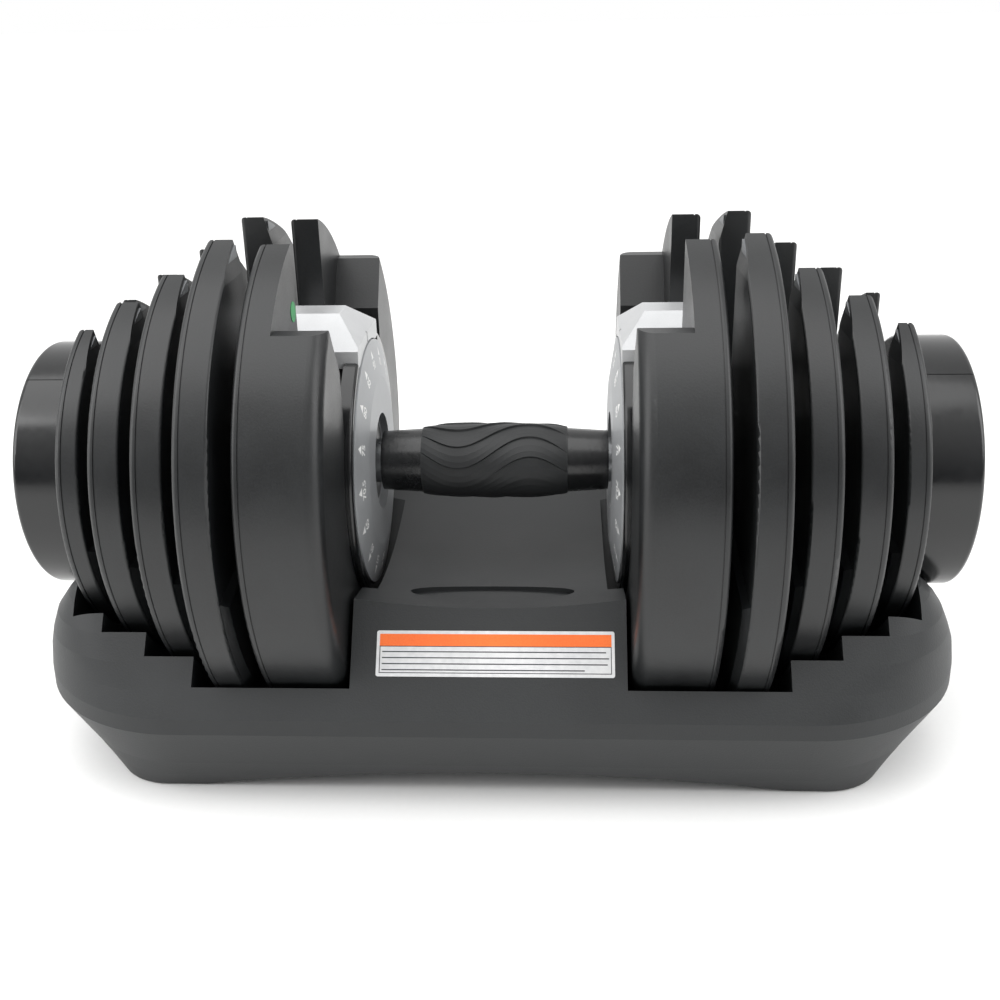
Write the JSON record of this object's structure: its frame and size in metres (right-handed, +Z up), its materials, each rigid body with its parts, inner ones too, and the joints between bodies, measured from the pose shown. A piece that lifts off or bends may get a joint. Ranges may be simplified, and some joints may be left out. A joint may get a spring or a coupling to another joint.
{
  "type": "adjustable dumbbell",
  "caption": "Adjustable dumbbell with nested slotted weight plates on a dial handle, standing in its moulded storage tray.",
  "frame": {"origin": "on the floor under the middle of the tray", "axes": "+X along the handle to the right, +Y to the rear, +Z up"},
  "size_m": [0.444, 0.242, 0.249],
  "materials": {
    "tube_steel": "turned, satin",
    "grip_gloss": "gloss black",
    "grip_rubber": "matte black, moulded relief",
    "fastener_steel": "zinc plated",
    "housing_silver": "satin silver grey",
    "bezel_black": "satin black",
    "dial_silver": "satin silver grey with white numbers",
    "sleeve_black": "black",
    "disc_nylon": "black nylon",
    "knob_gloss": "satin black",
    "plate_shell": "matte charcoal, moulded",
    "plate_steel": "plain",
    "dot_green": "green sticker",
    "tray_shell": "matte charcoal, fine texture",
    "foot_rubber": "matte black",
    "label_vinyl": "silver with an orange band"
  },
  "bodies": {
    "tray": {"tray_upper": "tray_shell", "tray_lower": "tray_shell", "rubber_feet": "foot_rubber", "tray_screws": "fastener_steel", "tray_label": "label_vinyl"},
    "handle": {"handle_tube": "tube_steel", "grip_core": "grip_gloss", "grip_cover": "grip_rubber", "end_washers": "fastener_steel", "end_screws": "fastener_steel", "housing_left": "housing_silver", "housing_right": "housing_silver", "bezel_left": "bezel_black", "bezel_right": "bezel_black"},
    "dial_left": {"number_dial_left": "dial_silver", "drive_sleeve_left": "sleeve_black", "selector_disc_1_left": "disc_nylon", "selector_disc_2_left": "disc_nylon", "selector_disc_3_left": "disc_nylon", "selector_disc_4_left": "disc_nylon", "selector_disc_5_left": "disc_nylon", "knob_left": "knob_gloss", "knob_insert_left": "knob_gloss", "end_face_left": "knob_gloss"},
    "dial_right": {"number_dial_right": "dial_silver", "drive_sleeve_right": "sleeve_black", "selector_disc_1_right": "disc_nylon", "selector_disc_2_right": "disc_nylon", "selector_disc_3_right": "disc_nylon", "selector_disc_4_right": "disc_nylon", "selector_disc_5_right": "disc_nylon", "knob_right": "knob_gloss", "knob_insert_right": "knob_gloss", "end_face_right": "knob_gloss"},
    "plate_1_left": {"plate_cover_1_left": "plate_shell", "plate_core_1_left": "plate_steel", "green_dot": "dot_green"},
    "plate_2_left": {"plate_cover_2_left": "plate_shell", "plate_core_2_left": "plate_steel"},
    "plate_3_left": {"plate_cover_3_left": "plate_shell", "plate_core_3_left": "plate_steel"},
    "plate_4_left": {"plate_cover_4_left": "plate_shell", "plate_core_4_left": "plate_steel"},
    "plate_5_left": {"plate_cover_5_left": "plate_shell", "plate_core_5_left": "plate_steel"},
    "plate_1_right": {"plate_cover_1_right": "plate_shell", "plate_core_1_right": "plate_steel"},
    "plate_2_right": {"plate_cover_2_right": "plate_shell", "plate_core_2_right": "plate_steel"},
    "plate_3_right": {"plate_cover_3_right": "plate_shell", "plate_core_3_right": "plate_steel"},
    "plate_4_right": {"plate_cover_4_right": "plate_shell", "plate_core_4_right": "plate_steel"},
    "plate_5_right": {"plate_cover_5_right": "plate_shell", "plate_core_5_right": "plate_steel"}
  },
  "joints": [
    {"name": "handle_lift", "type": "slide", "parent": "tray", "child": "handle", "axis": [0, 0, 1], "range_m": [0, 0.25]},
    {"name": "dial_turn_left", "type": "hinge", "parent": "handle", "child": "dial_left", "pos_m": [0, 0, 0.1315], "axis": [1, 0, 0], "continuous": true},
    {"name": "dial_turn_right", "type": "hinge", "parent": "handle", "child": "dial_right", "pos_m": [0, 0, 0.1315], "axis": [1, 0, 0], "continuous": true},
    {"name": "plate_1_left_lift", "type": "slide", "parent": "tray", "child": "plate_1_left", "axis": [0, 0, 1], "range_m": [0, 0.25]},
    {"name": "plate_2_left_lift", "type": "slide", "parent": "tray", "child": "plate_2_left", "axis": [0, 0, 1], "range_m": [0, 0.25]},
    {"name": "plate_3_left_lift", "type": "slide", "parent": "tray", "child": "plate_3_left", "axis": [0, 0, 1], "range_m": [0, 0.25]},
    {"name": "plate_4_left_lift", "type": "slide", "parent": "tray", "child": "plate_4_left", "axis": [0, 0, 1], "range_m": [0, 0.25]},
    {"name": "plate_5_left_lift", "type": "slide", "parent": "tray", "child": "plate_5_left", "axis": [0, 0, 1], "range_m": [0, 0.25]},
    {"name": "plate_1_right_lift", "type": "slide", "parent": "tray", "child": "plate_1_right", "axis": [0, 0, 1], "range_m": [0, 0.25]},
    {"name": "plate_2_right_lift", "type": "slide", "parent": "tray", "child": "plate_2_right", "axis": [0, 0, 1], "range_m": [0, 0.25]},
    {"name": "plate_3_right_lift", "type": "slide", "parent": "tray", "child": "plate_3_right", "axis": [0, 0, 1], "range_m": [0, 0.25]},
    {"name": "plate_4_right_lift", "type": "slide", "parent": "tray", "child": "plate_4_right", "axis": [0, 0, 1], "range_m": [0, 0.25]},
    {"name": "plate_5_right_lift", "type": "slide", "parent": "tray", "child": "plate_5_right", "axis": [0, 0, 1], "range_m": [0, 0.25]}
  ],
  "couplings": [
    {"joint": "plate_1_left_lift", "follows": "handle_lift", "ratio": 1},
    {"joint": "plate_2_left_lift", "follows": "handle_lift", "ratio": 1},
    {"joint": "plate_3_left_lift", "follows": "handle_lift", "ratio": 1},
    {"joint": "plate_4_left_lift", "follows": "handle_lift", "ratio": 1},
    {"joint": "plate_5_left_lift", "follows": "handle_lift", "ratio": 1},
    {"joint": "plate_1_right_lift", "follows": "handle_lift", "ratio": 1},
    {"joint": "plate_2_right_lift", "follows": "handle_lift", "ratio": 1},
    {"joint": "plate_3_right_lift", "follows": "handle_lift", "ratio": 1},
    {"joint": "plate_4_right_lift", "follows": "handle_lift", "ratio": 1},
    {"joint": "plate_5_right_lift", "follows": "handle_lift", "ratio": 1}
  ]
}
